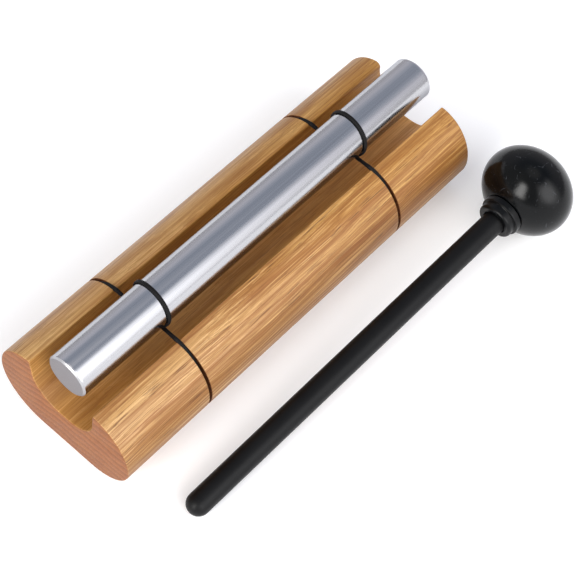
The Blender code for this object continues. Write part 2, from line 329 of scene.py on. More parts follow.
def kerf_arcs(outward, upper_end_deg, lower_steps, upper_steps):
    """A kerf's floor, or a line outward of it: an arc round the belly, then one over the shoulder."""
    side_x = BLOCK_HIGH.x - KERF_SIDE_DEPTH + outward
    lower_height = BELLY_RADIUS - KERF_FLOOR_Z + outward
    upper_height = RIDGE_Z - KERF_RIDGE_DEPTH + outward - BELLY_RADIUS
    lower_centre = (FLAT_HALF_WIDTH, BELLY_RADIUS)
    upper_centre = (KERF_TOP_CENTRE_X, BELLY_RADIUS)
    lower = arc(lower_centre, side_x - FLAT_HALF_WIDTH, lower_height, -90, 0, lower_steps)
    upper = arc(upper_centre, side_x - KERF_TOP_CENTRE_X, upper_height, 0, upper_end_deg, upper_steps)
    return lower + upper[1:]


def kerf_meets_wall():
    """Where the kerf's floor comes out through the channel's wall, and its angle on the floor's upper arc."""
    width = BLOCK_HIGH.x - KERF_SIDE_DEPTH - KERF_TOP_CENTRE_X
    height = RIDGE_Z - KERF_RIDGE_DEPTH - BELLY_RADIUS
    z = RIDGE_Z - KERF_RIDGE_DEPTH
    for _ in range(4):
        angle = math.acos((wall_x(z) - KERF_TOP_CENTRE_X) / width)
        z = BELLY_RADIUS + height * math.sin(angle)
    return (wall_x(z), z), math.degrees(angle)


def ridge_corner(rounding):
    """The round between a ridge's shoulder and the channel's wall.

    Gives its centre, the angles it starts and ends at, and the angle on the shoulder's arc where it starts.
    """
    lean = math.atan2(CHANNEL_HALF_WIDTH - CHANNEL_WALL_FOOT_X, RIDGE_Z - COVE_CENTRE_Z)
    low = math.radians(60)
    high = math.radians(90)
    for _ in range(30):
        angle = (low + high) / 2
        across = math.atan2(math.sin(angle) / SHOULDER_HEIGHT, math.cos(angle) / SHOULDER_WIDTH)
        x = SHOULDER_CENTRE_X + SHOULDER_WIDTH * math.cos(angle) - rounding * math.cos(across)
        z = BELLY_RADIUS + SHOULDER_HEIGHT * math.sin(angle) - rounding * math.sin(across)
        if x > wall_x(z) + rounding / math.cos(lean):
            low = angle
        else:
            high = angle
    return (x, z), math.degrees(across), 180 - math.degrees(lean), math.degrees(angle)


def outer_half(inset=0.0, channel_inset=None, rounding=RIDGE_ROUND):
    """The right half of the block's section, from the middle of its underside to that of the channel."""
    if channel_inset is None:
        channel_inset = inset
    short_deg = 0.5                # the shoulder's arc stops this far short of the corner's first point
    below_corner = 0.3 * MM        # the wall's top point lies at least this far below the corner's last
    centre, corner_start, corner_end, shoulder_end = ridge_corner(rounding)
    belly = BELLY_RADIUS - inset
    width = SHOULDER_WIDTH - inset
    height = SHOULDER_HEIGHT - inset
    radius = rounding - inset
    lower = arc((FLAT_HALF_WIDTH, BELLY_RADIUS), belly, belly, -90, 0, ARC_STEPS)
    shoulder = arc((SHOULDER_CENTRE_X, BELLY_RADIUS), width, height, 0, shoulder_end - short_deg, ARC_STEPS)
    corner = arc(centre, radius, radius, corner_start, corner_end, RIDGE_ARC_STEPS)
    meet_x, meet_z = kerf_meets_wall()[0]
    wall = (meet_x + channel_inset, min(meet_z, corner[-1][1] - below_corner))
    floor = (0, CHANNEL_FLOOR_Z - channel_inset)
    return [(0, inset)] + lower + shoulder[1:] + corner + [wall] + channel_half(channel_inset) + [floor]


def kerf_half():
    """The same half section with the kerf cut down to its floor, point for point."""
    meet, meet_deg = kerf_meets_wall()
    arcs = kerf_arcs(0, meet_deg, ARC_STEPS, ARC_STEPS + RIDGE_ARC_STEPS + 1)
    return [(0, KERF_FLOOR_Z)] + arcs + [meet] + channel_half(0) + [(0, CHANNEL_FLOOR_Z)]


def whole(right, left):
    """A closed section from the right half and a half like it for the left, mirrored."""
    return right + [(-x, z) for x, z in reversed(left[1:-1])]


def left_rounding(y):
    """The rounding of the left ridge's inner edge at a place along the block."""
    return RIDGE_ROUND + (WORN_ROUND - RIDGE_ROUND) * eased(share_of(y, WORN_FROM_Y, BLOCK_HIGH.y))


def plain_section(y, inset=0.0):
    """The block's closed section at a place away from the kerfs, sunk into the wood by inset."""
    return y, whole(outer_half(inset), outer_half(inset, rounding=left_rounding(y)))


def kerf_sections(end):
    """The sections on both sides of a kerf, whose upper edges are slightly soft."""
    soft = outer_half(KERF_EDGE_SOFT, 0)
    floor = kerf_half()
    near_wall = KERF_Y[end] - KERF_WIDTH / 2
    far_wall = KERF_Y[end] + KERF_WIDTH / 2
    return [
        plain_section(near_wall - KERF_EDGE_SOFT - SUPPORT),
        plain_section(near_wall - KERF_EDGE_SOFT),
        (near_wall, whole(soft, soft)),
        (near_wall, whole(floor, floor)),
        (far_wall, whole(floor, floor)),
        (far_wall, whole(soft, soft)),
        plain_section(far_wall + KERF_EDGE_SOFT),
        plain_section(far_wall + KERF_EDGE_SOFT + SUPPORT),
    ]


def block_sections():
    """The block's closed sections, each with its place along Y."""
    turns = [math.pi / 2 * i / END_STEPS for i in range(END_STEPS + 1)]
    end_edge = [(END_ROUND * (1 - math.cos(turn)), END_ROUND * (1 - math.sin(turn))) for turn in turns]
    sections = [plain_section(BLOCK_LOW.y + along, inset) for along, inset in end_edge]
    sections.append(plain_section(BLOCK_LOW.y + END_ROUND + SUPPORT))
    for end in ENDS:
        sections += kerf_sections(end)
    last = BLOCK_HIGH.y - END_ROUND - SUPPORT
    worn = [WORN_FROM_Y + (last - WORN_FROM_Y) * i / WORN_STEPS for i in range(WORN_STEPS + 1)]
    sections += [plain_section(y) for y in worn]
    sections += [plain_section(BLOCK_HIGH.y - along, inset) for along, inset in reversed(end_edge)]
    return sections


def in_kerf(centre):
    """True for a face inside a kerf, below the block's outer surface."""
    slack = 0.01 * MM
    if not any(abs(centre.y - KERF_Y[end]) < KERF_WIDTH / 2 + slack for end in ENDS):
        return False
    beside_channel = abs(centre.x) > wall_x(RIDGE_Z) - 0.2 * MM
    under_channel = centre.z < CHANNEL_FLOOR_Z - MM
    return beside_channel or under_channel


def cut_pocket(block, end):
    """Take a knot's round pocket out of the underside."""
    below = 2 * MM
    depth = below + KNOT_POCKET_DEPTH
    profile = [
        (0, 0),
        (KNOT_POCKET_RADIUS, 0),
        (KNOT_POCKET_RADIUS, depth - KNOT_POCKET_SOFT),
        (KNOT_POCKET_RADIUS - KNOT_POCKET_SOFT, depth),
        (0, depth),
    ]
    axis = (Vector((0, KERF_Y[end], -below)), Vector((0, 0, 1)))
    cutter = turned("pocket_cutter", profile, axis, steps=48)
    boolean = block.modifiers.new("pocket", "BOOLEAN")
    boolean.operation = "DIFFERENCE"
    boolean.solver = "EXACT"
    boolean.object = cutter
    apply_modifiers(block)
    bpy.data.objects.remove(cutter, do_unlink=True)


def make_block(finish, kerf_scorch_and_shade):
    """The wood block: one lofted mesh with rounded ends and kerfs, and a pocket cut for each knot."""
    sections = block_sections()
    points = [(x, y, z) for y, outline in sections for x, z in outline]
    size = len(points) // len(sections)
    faces = loft_faces(len(sections), size)
    faces.append(tuple(range(size)))
    faces.append(tuple(range(len(points) - size, len(points))))
    block = new_piece("block_body", points, faces)
    clean(block)
    for end in ENDS:
        cut_pocket(block, end)
    crisp(block, degrees=18)
    dress(block, "base", finish, "wood_block")
    # the kerfs' faces take the darker kerf material: saw-scorched wood with painted shade
    block.data.materials.append(kerf_scorch_and_shade)
    for face in block.data.polygons:
        face.material_index = 1 if in_kerf(face.center) else 0


# ---------------------------------------------------------------- rod

def make_rod(finish):
    """The sounding rod: turned, with a chamfer whose edges are slightly broken."""
    length = ROD_HIGH.y - ROD_LOW.y
    soft = ROD_EDGE_SOFT
    end = [
        (0, 0),
        (ROD_RADIUS - ROD_CHAMFER - 3 * soft, 0),
        (ROD_RADIUS - ROD_CHAMFER - soft, 0),
        (ROD_RADIUS - ROD_CHAMFER + 0.5 * soft, 0.5 * soft),
        (ROD_RADIUS - 0.5 * soft, ROD_CHAMFER - 0.5 * soft),
        (ROD_RADIUS, ROD_CHAMFER + soft),
        (ROD_RADIUS, ROD_CHAMFER + 5 * soft),
    ]
    profile = end + [(radius, length - along) for radius, along in reversed(end)]
    axis = (Vector((0, ROD_LOW.y, ROD_Z)), Vector((0, 1, 0)))
    rod = turned("sounding_rod", profile, axis, steps=192)
    crisp(rod, degrees=22)
    dress(rod, "rod", finish, "chime_rod")


# ---------------------------------------------------------------- cords

def kerf_line(end, side):
    """One side of a loop, from beside the knot up to the ridge. side is 1 for +X and -1 for -X."""
    outward = CORD_GAP + CORD_RADIUS_KERF
    top_z = RIDGE_Z - KERF_RIDGE_DEPTH + outward
    start = (KNOT_HALF_LENGTH + CORD_GAP, KERF_FLOOR_Z - outward)
    points = []
    for x, z in [start] + kerf_arcs(outward, 90, KERF_LINE_STEPS, KERF_LINE_STEPS):
        radius = CORD_RADIUS_KERF + (CORD_RADIUS_RIDGE - CORD_RADIUS_KERF) * share_of(z, CORD_SINKS_Z, top_z)
        points.append((Vector((side * x, KERF_Y[end], z)), radius))
    points[-1] = (points[-1][0] + Vector((0, 0, CORD_TOP_LIFT)), CORD_RADIUS_RIDGE)
    return points


def wrap_line(end):
    """The turn round the rod, from the left strand to the right one."""
    rows = [WRAP_ROUTE[0]] + WRAP_ROUTE + [WRAP_ROUTE[-1]]
    path = []
    for four in zip(rows, rows[1:], rows[2:], rows[3:]):
        start_deg = four[1][0]
        end_deg = four[2][0]
        steps = math.ceil((end_deg - start_deg) / WRAP_STEP_DEG)
        for k in range(steps):
            lift, drift = [smooth_between(*[row[n] for row in four], k / steps) for n in (1, 2)]
            path.append((start_deg + (end_deg - start_deg) * k / steps, lift, drift))
    path.append(WRAP_ROUTE[-1])
    points = []
    for angle, lift, drift in path:
        turn = math.radians(angle)
        reach = ROD_RADIUS + WRAP_GAP + WRAP_HALF_THICKNESS + lift * WRAP_LIFT * MM
        along = KERF_Y[end] + drift * WRAP_DRIFT_SCALE[end] * MM
        at = Vector((reach * math.cos(turn), along, ROD_Z + reach * math.sin(turn)))
        points.append((at, CORD_RADIUS_WRAP))
    return points


def cord_line(end):
    """A whole cord's line and the places along it where it leaves one body for the next."""
    left = kerf_line(end, -1)
    right = kerf_line(end, 1)
    wrap = wrap_line(end)
    spans = []
    for outer, inner in ((left[-1][0], wrap[0][0]), (wrap[-1][0], right[-1][0])):
        spans.append([(outer.lerp(inner, share), CORD_RADIUS_SPAN) for share in SPAN_POINTS])
    line = left + spans[0] + wrap + spans[1] + list(reversed(right))
    on_rod = len(left) + len(SPAN_POINTS)
    marks = [len(left) - 1, on_rod, on_rod + len(wrap) - 1, len(line) - len(right)]
    return line, marks


def resampled(line, marks):
    """The line as evenly spaced points: (place, radius, distance along), with the marks as indices of it."""
    points = [line[0]] + line + [line[-1]]
    made = []
    new_marks = []
    travelled = 0.0
    for n, four in enumerate(zip(points, points[1:], points[2:], points[3:])):
        if n in marks:
            new_marks.append(len(made))
        start, start_radius = four[1]
        finish, finish_radius = four[2]
        steps = max(1, round((finish - start).length / BRAID_STEP))
        for k in range(steps):
            share = k / steps
            at = smooth_between(*[p[0] for p in four], share)
            if made:
                travelled += (at - made[-1][0]).length
            made.append((at, start_radius + (finish_radius - start_radius) * share, travelled))
    travelled += (line[-1][0] - made[-1][0]).length
    made.append((line[-1][0], line[-1][1], travelled))
    return made, new_marks


def flatness(at):
    """How far a cord is pressed flat: 1 on the rod's surface and 0 well clear of it."""
    clear = Vector((at.x, 0, at.z - ROD_Z)).length - ROD_RADIUS
    return 1 - eased(share_of(clear, WRAP_FLAT_BELOW, WRAP_ROUND_ABOVE))


def pressed(at, point, radius):
    """A ring's point, squeezed towards the rod's surface where the cord lies on it."""
    outward = Vector((at.x, 0, at.z - ROD_Z)).normalized()
    squeeze = 1 + (WRAP_HALF_THICKNESS / radius - 1) * flatness(at)
    return point - outward * (point - at).dot(outward) * (1 - squeeze)


def braided_reach(radius, turn, along):
    """How far the braid's surface lies from the cord's middle."""
    twist = 2 * math.pi * along / BRAID_PITCH
    weave = math.cos(BRAID_STRANDS * turn + twist) * math.cos(BRAID_STRANDS * turn - twist)
    return radius * (1 - BRAID_RELIEF * (0.5 - 0.5 * weave))


def tube_rings(samples):
    """The ring of points round each sample, turned along the line without twist."""
    rings = []
    side = None
    for n, (at, radius, along) in enumerate(samples):
        ahead = samples[min(n + 1, len(samples) - 1)][0] - samples[max(n - 1, 0)][0]
        ahead.normalize()
        if side is None:
            side = ahead.orthogonal()
        side = (side - ahead * side.dot(ahead)).normalized()
        across = ahead.cross(side)
        ring = []
        for k in range(BRAID_SIDES):
            turn = 2 * math.pi * k / BRAID_SIDES
            reach = braided_reach(radius, turn, along)
            point = at + (side * math.cos(turn) + across * math.sin(turn)) * reach
            ring.append(pressed(at, point, radius))
        rings.append(ring)
    return rings


def tube_piece(name, rings, samples):
    """A closed tube from its rings, with (share of a turn, millimetres along) as its UV map."""
    points = [p for ring in rings for p in ring]
    faces = loft_faces(len(rings), BRAID_SIDES)
    uvs = []
    for sample, following in zip(samples, samples[1:]):
        low = sample[2] / MM
        high = following[2] / MM
        for k in range(BRAID_SIDES):
            u = k / BRAID_SIDES
            after = (k + 1) / BRAID_SIDES
            uvs += [(u, low), (after, low), (after, high), (u, high)]
    for first, sample in ((0, samples[0]), (len(points) - BRAID_SIDES, samples[-1])):
        corners = list(range(first, first + BRAID_SIDES))
        faces.append(tuple(corners if first else reversed(corners)))
        uvs += [(0.5, sample[2] / MM)] * BRAID_SIDES
    piece = new_piece(name, points, faces, uvs)
    crisp(piece, degrees=60)
    return piece


def make_cord(end, finish):
    """One cord in pieces: two kerf runs on the block, two spans between them and the rod, and the turn on the
    rod.
    """
    samples, marks = resampled(*cord_line(end))
    rings = tube_rings(samples)
    stops = [0] + marks + [len(samples) - 1]
    for (name, body), first, last in zip(CORD_PIECES, stops, stops[1:]):
        piece = tube_piece(f"{end}_cord_{name}", rings[first:last + 1], samples[first:last + 1])
        piece.data.materials.append(finish)
        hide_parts(f"{end}_cord")
        if body:
            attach(piece, body)
            continue
        outer = samples[first][0]
        inner = samples[last][0]
        if name == "span_right":
            outer, inner = inner, outer
        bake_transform(piece)


def make_knot(end, finish):
    """The overhand knot that closes a loop: a trefoil of the same cord, in its pocket."""
    centre = sum(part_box(f"{end}_cord_knot"), Vector()) / 2
    half_length = KNOT_HALF_LENGTH - KNOT_CORD_RADIUS
    half_width = KNOT_RADIUS - KNOT_CORD_RADIUS
    reach = Vector((half_length, half_width, half_width))
    samples = []
    steps = 90
    travelled = 0.0
    for n in range(steps + 1):
        t = 2 * math.pi * n / steps
        x = (math.sin(t) + 2 * math.sin(2 * t)) / 3
        y = (math.cos(t) - 2 * math.cos(2 * t)) / 3
        z = -math.sin(3 * t)
        at = centre + Vector((x, y, z)) * reach
        if samples:
            travelled += (at - samples[-1][0]).length
        samples.append((at, KNOT_CORD_RADIUS, travelled))
    piece = tube_piece(f"{end}_knot", tube_rings(samples), samples)
    dress(piece, "base", finish, f"{end}_cord_knot")


# ---------------------------------------------------------------- mallet

def node_points(node):
    """A CAD node's points, each once."""
    rows = np.array([v.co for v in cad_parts[node].data.vertices], float)
    return np.unique(np.round(rows, 7), axis=0)


def mallet_axis():
    """The mallet's axis, from the round points of its CAD handle: (the tip's end, direction)."""
    rows = node_points("mallet_handle")
    middle = rows.mean(axis=0)
    direction = np.linalg.svd(rows - middle)[2][0]
    if direction[1] < 0:
        direction = -direction
    reach = ((rows - middle) @ direction).min()
    return Vector(middle + direction * reach), Vector(direction)


def extent(node, axis):
    """Where a turned CAD node starts and ends along an axis, and its largest radius about it."""
    rows = node_points(node) - np.array(axis[0])
    along = rows @ np.array(axis[1])
    radius = np.linalg.norm(rows - np.outer(along, np.array(axis[1])), axis=1).max()
    return along.min(), along.max(), radius


def make_handle(axis, finish):
    """The straight tapered handle, with a round tip."""
    low, high, neck = extent("mallet_handle", axis)
    tip = HANDLE_TIP_RADIUS
    steps = 24
    profile = arc((0, low + tip), tip, tip, -90, 0, steps)
    profile[0] = (0, low)
    straight = high - HANDLE_END_CHAMFER - low - tip
    for n in range(1, steps + 1):
        share = n / steps
        profile.append((tip + (neck - tip) * share, low + tip + straight * share))
    profile += [(neck - HANDLE_END_CHAMFER, high), (0, high)]
    handle = turned("handle", profile, axis, steps=96)
    crisp(handle, degrees=40)
    dress(handle, "mallet", finish, "mallet_handle")


def make_head(axis, finish):
    """The flattened ball, with its collar seat and the blind bore that the handle fills."""
    seat, top, radius = extent("mallet_head", axis)
    centre = top - HEAD_HALF_LENGTH
    half = HEAD_HALF_LENGTH - INSIDE_CAD
    end_deg = -math.degrees(math.asin((centre - seat) / half))
    profile = arc((0, centre), radius - INSIDE_CAD, half, 90, end_deg, 2 * ARC_STEPS)
    profile[0] = (0, centre + half)
    bore_end = centre + BORE_PAST_CENTRE
    profile += [
        (profile[-1][0] - HEAD_EDGE_SOFT, seat),
        (BORE_RADIUS + HEAD_EDGE_SOFT, seat),
        (BORE_RADIUS, seat + HEAD_EDGE_SOFT),
        (BORE_RADIUS, bore_end),
        (0, bore_end),
    ]
    head = turned("ball_head", profile, axis, steps=160)
    crisp(head, degrees=30)
    dress(head, "mallet", finish, "mallet_head")


def make_collar(axis, finish):
    """The neck collar: a wide ring, a step, and a narrower rounded ring."""
    low, high, radius = extent("mallet_collar", axis)
    step = high - COLLAR_STEP_AT
    ring = COLLAR_RING_ROUND
    neck = COLLAR_NECK_ROUND
    edge = COLLAR_EDGE_CHAMFER
    nick = COLLAR_STEP_CHAMFER
    profile = [(BORE_RADIUS, high), (radius - edge, high), (radius, high - edge)]
    profile += arc((radius - ring, step + ring), ring, ring, 0, -90, 8)
    profile += [(COLLAR_STEP_RADIUS + nick, step), (COLLAR_STEP_RADIUS, step - nick)]
    profile += arc((COLLAR_STEP_RADIUS - neck, low + neck), neck, neck, 0, -90, 12)
    profile += [(BORE_RADIUS + edge, low), (BORE_RADIUS, low + edge), (BORE_RADIUS, high)]
    collar = turned("neck_collar", profile, axis)
    crisp(collar, degrees=35)
    dress(collar, "mallet", finish, "mallet_collar")


# ---------------------------------------------------------------- materials

def linear(red, green, blue):
    """A colour given as 0 to 255 screen values, in the linear values that shaders take."""
    values = []
    for level in (red, green, blue):
        share = level / 255
        values.append(share / 12.92 if share <= 0.04045 else ((share + 0.055) / 1.055) ** 2.4)
    return (*values, 1.0)


class Graph:
    """A node tree, with nodes wired as they are added."""

    def __init__(self, tree):
        self.tree = tree

    def feed(self, socket, value):
        """Link an output to a socket, or set the socket's own value."""
        if isinstance(value, bpy.types.NodeSocket):
            self.tree.links.new(value, socket)
        else:
            socket.default_value = value

    def add(self, kind, sockets=None, **settings):
        """A new shader node."""
        node = self.tree.nodes.new("ShaderNode" + kind)
        for name, value in settings.items():
            setattr(node, name, value)
        for key, value in (sockets or {}).items():
            self.feed(node.inputs[key], value)
        return node

    def math(self, operation, *values):
        """One Math node's result."""
        return self.add("Math", dict(enumerate(values)), operation=operation).outputs[0]

    def vector_math(self, operation, *values):
        """One Vector Math node's result."""
        node = self.add("VectorMath", dict(enumerate(values)), operation=operation)
        return node.outputs["Value" if operation == "DOT_PRODUCT" else "Vector"]

    def product(self, *values):
        """Several values multiplied together."""
        result = values[0]
        for value in values[1:]:
            result = self.math("MULTIPLY", result, value)
        return result

    def smooth(self, value, low, high, to_low=0.0, to_high=1.0):
        """A smooth step of a value between two levels."""
        sockets = {"Value": value, "From Min": low, "From Max": high, "To Min": to_low, "To Max": to_high}
        return self.add("MapRange", sockets, interpolation_type="SMOOTHSTEP").outputs["Result"]

    def mix(self, share, first, second, blend="MIX"):
        """One colour mixed over another."""
        node = self.add("Mix", data_type="RGBA", blend_type=blend, clamp_factor=True)
        self.feed(node.inputs[0], share)
        self.feed(node.inputs[6], first)
        self.feed(node.inputs[7], second)
        return node.outputs[2]

    def tinted(self, colour, tint, share=1.0):
        """A colour multiplied by a tint, as far as share says."""
        return self.mix(share, colour, tint, "MULTIPLY")

    def layered(self, colour, layers):
        """A colour with others laid over it in turn, each (share, screen colour)."""
        for share, over in layers:
            colour = self.mix(share, colour, linear(*over))
        return colour

    def noise(self, vector, scale, detail=2.0, rough=0.5):
        """Noise from 0 to 1."""
        sockets = {"Vector": vector, "Scale": scale, "Detail": detail, "Roughness": rough}
        return self.add("TexNoise", sockets).outputs["Fac"]

    def stretched(self, vector, sizes, detail=2.0, rough=0.5):
        """Noise from 0 to 1 whose features have these sizes along the three axes."""
        return self.noise(self.vector_math("DIVIDE", vector, sizes), 1, detail, rough)

    def millimetres(self):
        """The piece's own coordinates, in millimetres."""
        place = self.add("TexCoord").outputs["Object"]
        return self.vector_math("MULTIPLY", place, (1 / MM, 1 / MM, 1 / MM))

    def split(self, vector):
        """A vector's three parts."""
        return self.add("SeparateXYZ", {"Vector": vector}).outputs

    def joined(self, **parts):
        """A vector from its parts."""
        return self.add("CombineXYZ", parts).outputs[0]

    def faces_along(self):
        """How squarely the surface faces along the piece's Y axis, from 0 to 1."""
        return self.math("ABSOLUTE", self.split(self.add("TexCoord").outputs["Normal"])[1])

    def bump(self, height, distance, strength):
        """A bump from a height given as 0 to 1, whose full height is distance."""
        sockets = {"Strength": strength, "Distance": distance, "Height": height}
        return self.add("Bump", sockets).outputs["Normal"]

    def surface(self, sockets):
        """The material's surface: one Principled shader."""
        shader = self.add("BsdfPrincipled", sockets)
        self.add("OutputMaterial", {"Surface": shader.outputs[0]})


def new_material(name):
    """An empty node material and its graph."""
    made = bpy.data.materials.new(name)
    made.use_nodes = True
    made.node_tree.nodes.clear()
    return made, Graph(made.node_tree)


RING_WIDTH = 4.0                   # growth rings, in millimetres


def wood_patterns(graph, at):
    """The wood's patterns in three dimensions, by name, each from 0 to 1."""
    x, y, z = graph.split(at)
    # the growth rings lie nearly level, rise a little towards +X and bend slowly along the grain
    level = graph.math("MULTIPLY_ADD", x, -0.17, z)
    level = graph.math("MULTIPLY_ADD", graph.product(x, x), 0.0018, level)
    level = graph.math("MULTIPLY_ADD", graph.stretched(at, (30, 130, 30)), 7.0, level)
    level = graph.math("MULTIPLY_ADD", graph.stretched(at, (8, 36, 8)), 1.6, level)
    phase = graph.math("FRACT", graph.math("DIVIDE", level, RING_WIDTH))
    early = graph.smooth(phase, 0.0, 0.5, 1.0, 0.0)
    late = graph.product(graph.smooth(phase, 0.35, 0.85), graph.smooth(phase, 0.93, 1.0, 1.0, 0.0))
    # everything else in the wood follows the bent rings
    along = graph.joined(X=x, Y=y, Z=level)
    fine = graph.stretched(along, (0.5, 52, 0.42), 3, 0.58)
    off_middle = graph.math("ABSOLUTE", graph.math("SUBTRACT", fine, 0.5))
    pores = graph.smooth(graph.stretched(along, (0.5, 12, 0.45), 1), 0.58, 0.68)
    return {
        "early": early,
        "late": late,
        "broad": graph.stretched(along, (10, 70, 8)),
        "figure": graph.stretched(along, (2.2, 75, 1.7), 2, 0.6),
        "fibre": graph.stretched(along, (0.95, 85, 0.75), 3, 0.66),
        "fine": fine,
        "lines": graph.smooth(off_middle, 0.0, 0.04, 1.0, 0.0),
        "pores": graph.product(pores, graph.math("MULTIPLY_ADD", early, 0.7, 0.3)),
    }


def long_grain(graph, wood, x):
    """The colour along the grain, which shows least in the channel and more on the right than on the left."""
    broad = graph.smooth(wood["broad"], 0.32, 0.68)
    plain = graph.mix(broad, linear(222, 181, 124), linear(190, 142, 78))
    off_heart = graph.math("MULTIPLY_ADD", x, 0.5, graph.math("ABSOLUTE", x))
    plain = graph.layered(plain, [(graph.smooth(off_heart, 8, 52, 0.0, 0.6), (150, 104, 60))])
    grained = graph.layered(plain, [
        (graph.product(wood["late"], 0.42), (146, 92, 46)),
        (graph.smooth(wood["figure"], 0.5, 0.64, 0.0, 0.55), (150, 96, 48)),
        (graph.smooth(wood["figure"], 0.46, 0.3, 0.0, 0.4), (236, 196, 144)),
        (graph.smooth(wood["fibre"], 0.46, 0.66, 0.0, 0.58), (138, 84, 38)),
        (graph.smooth(wood["fibre"], 0.49, 0.32, 0.0, 0.52), (242, 203, 154)),
        (graph.product(wood["lines"], 0.55), (124, 74, 34)),
        (graph.product(wood["pores"], 0.75), (88, 48, 20)),
    ])
    on_ridges = graph.smooth(graph.math("ABSOLUTE", x), 13, 19, 0.5, 1.0)
    on_right = graph.smooth(x, -12, -17, 1.0, 0.72)
    smooth_wood = graph.tinted(plain, (0.8, 0.74, 0.62, 1))
    return graph.mix(graph.product(on_ridges, on_right), smooth_wood, grained)


def painted_light_and_shade_tint(graph, x, y, far):
    """Painted light and shade that the wood is multiplied by, outside and in the channel, near and far."""
    # outside: painted sheen, whiter at the near end, and painted shade, darker and more golden towards the
    # far end
    outside = graph.mix(far, (0.95, 0.92, 0.80, 1), (0.86, 0.77, 0.49, 1))
    # in the channel: painted light, darker at the near end and lighter towards the far end
    channel = graph.mix(far, (0.96, 0.84, 0.62, 1), (1.25, 1.12, 0.86, 1))
    # the channel's left side: painted shade on its cove, most at the near end, and painted light on its wall
    # above that
    inward = graph.smooth(y, -100, -70)
    wall = graph.mix(inward, (0.92, 0.84, 0.62, 1), (1.22, 1.2, 0.96, 1))
    cove = graph.mix(inward, (0.68, 0.62, 0.58, 1), (0.82, 0.77, 0.76, 1))
    left = graph.mix(graph.smooth(x, -15.4, -15.8), cove, wall)
    channel = graph.tinted(channel, left, graph.smooth(x, -3, -7))
    in_channel = graph.smooth(graph.math("ABSOLUTE", x), 13, 19, 1, 0)
    return graph.mix(in_channel, outside, channel)


def flank_shaded(graph, colour, x, z, far):
    """Painted shade: a colour made darker down both flanks, and most at the far end of the right one."""
    right = graph.smooth(graph.math("MULTIPLY_ADD", z, -0.5, x), 11, 21)
    shade = graph.mix(far, (0.82, 0.78, 0.70, 1), (0.68, 0.64, 0.58, 1))
    colour = graph.tinted(colour, shade, right)
    return graph.tinted(colour, (0.84, 0.80, 0.76, 1), graph.smooth(x, -19, -28))


def end_grain(graph, wood, at):
    """The colour of the sawn ends, darker and pinker."""
    speckle = graph.smooth(graph.noise(at, 1.6, 3, 0.7), 0.4, 0.75)
    broad = graph.smooth(wood["broad"], 0.3, 0.7)
    return graph.layered(graph.mix(broad, linear(146, 92, 52), linear(136, 84, 49)), [
        (graph.product(wood["late"], 0.45), (108, 60, 32)),
        (graph.product(wood["early"], 0.3), (160, 106, 64)),
        (graph.product(speckle, 0.3), (98, 54, 30)),
    ])


def wood_material():
    """Oiled open-grained hardwood, with end grain at its ends."""
    made, graph = new_material("oiled_hardwood")
    at = graph.millimetres()
    x, y, z = graph.split(at)
    wood = wood_patterns(graph, at)
    far = graph.smooth(y, -95, 95)
    # painted light and shade by place, then painted shade down the flanks
    sides = graph.tinted(long_grain(graph, wood, x), painted_light_and_shade_tint(graph, x, y, far))
    sides = flank_shaded(graph, sides, x, z, far)
    end = graph.smooth(graph.faces_along(), 0.55, 0.9)
    relief = graph.math("MULTIPLY_ADD", wood["fine"], 0.4, graph.product(wood["pores"], -0.6))
    graph.surface({
        "Base Color": graph.mix(end, sides, end_grain(graph, wood, at)),
        "Roughness": graph.smooth(wood["fibre"], 0.25, 0.75, 0.38, 0.56),
        "Specular IOR Level": graph.math("MULTIPLY_ADD", end, -0.35, 0.5),
        "Normal": graph.bump(relief, 0.08 * MM, 0.6),
    })
    return made


def kerf_scorch_and_shade_material():
    """Wood inside the kerfs, darkened partly where the saw scorched it and partly as painted shade of the
    narrow kerf.
    """
    made, graph = new_material("saw_darkened_and_shaded_hardwood")
    scorch_and_shade_mottle = graph.stretched(graph.millimetres(), (1.2, 4, 1.2), 3, 0.6)
    graph.surface({
        "Base Color": graph.mix(graph.smooth(scorch_and_shade_mottle, 0.3, 0.7), linear(70, 38, 20), linear(112, 64, 34)),
        "Roughness": graph.smooth(scorch_and_shade_mottle, 0.2, 0.8, 0.85, 0.7),
        "Specular IOR Level": 0.2,
        "Normal": graph.bump(scorch_and_shade_mottle, 0.08 * MM, 0.5),
    })
    return made


def aluminium_material():
    """Drawn aluminium polished along its length, with lathe-faced ends."""
    made, graph = new_material("satin_aluminium")
    at = graph.millimetres()
    x, _, z = graph.split(at)
    drawn = graph.stretched(at, (0.5, 120, 0.5), 2, 0.6)
    cloud = graph.stretched(at, (3, 30, 3))
    facing = graph.faces_along()
    end = graph.smooth(facing, 0.85, 0.97)
    chamfer_and_end = graph.smooth(facing, 0.3, 0.6)
    off_axis = graph.math("SUBTRACT", z, ROD_Z / MM)
    radius = graph.math("SQRT", graph.math("ADD", graph.product(x, x), graph.product(off_axis, off_axis)))
    turning = graph.noise(graph.joined(X=radius), 9, 2, 0.7)
    side = graph.mix(graph.smooth(drawn, 0.3, 0.7), linear(188, 188, 191), linear(193, 193, 196))
    face = graph.mix(graph.smooth(turning, 0.3, 0.7), linear(144, 141, 143), linear(164, 161, 162))
    rough_side = graph.math("MULTIPLY_ADD", cloud, 0.05, graph.smooth(drawn, 0.2, 0.8, 0.155, 0.18))
    rough = graph.add("Mix", {0: chamfer_and_end, 2: rough_side, 3: 0.45}, data_type="FLOAT").outputs[0]
    graph.surface({
        "Base Color": graph.mix(end, side, face),
        "Metallic": 1.0,
        "Specular Tint": (0.62, 0.63, 0.66, 1),
        "Roughness": rough,
        "Normal": graph.bump(graph.product(end, turning), 0.01 * MM, 0.35),
    })
    return made


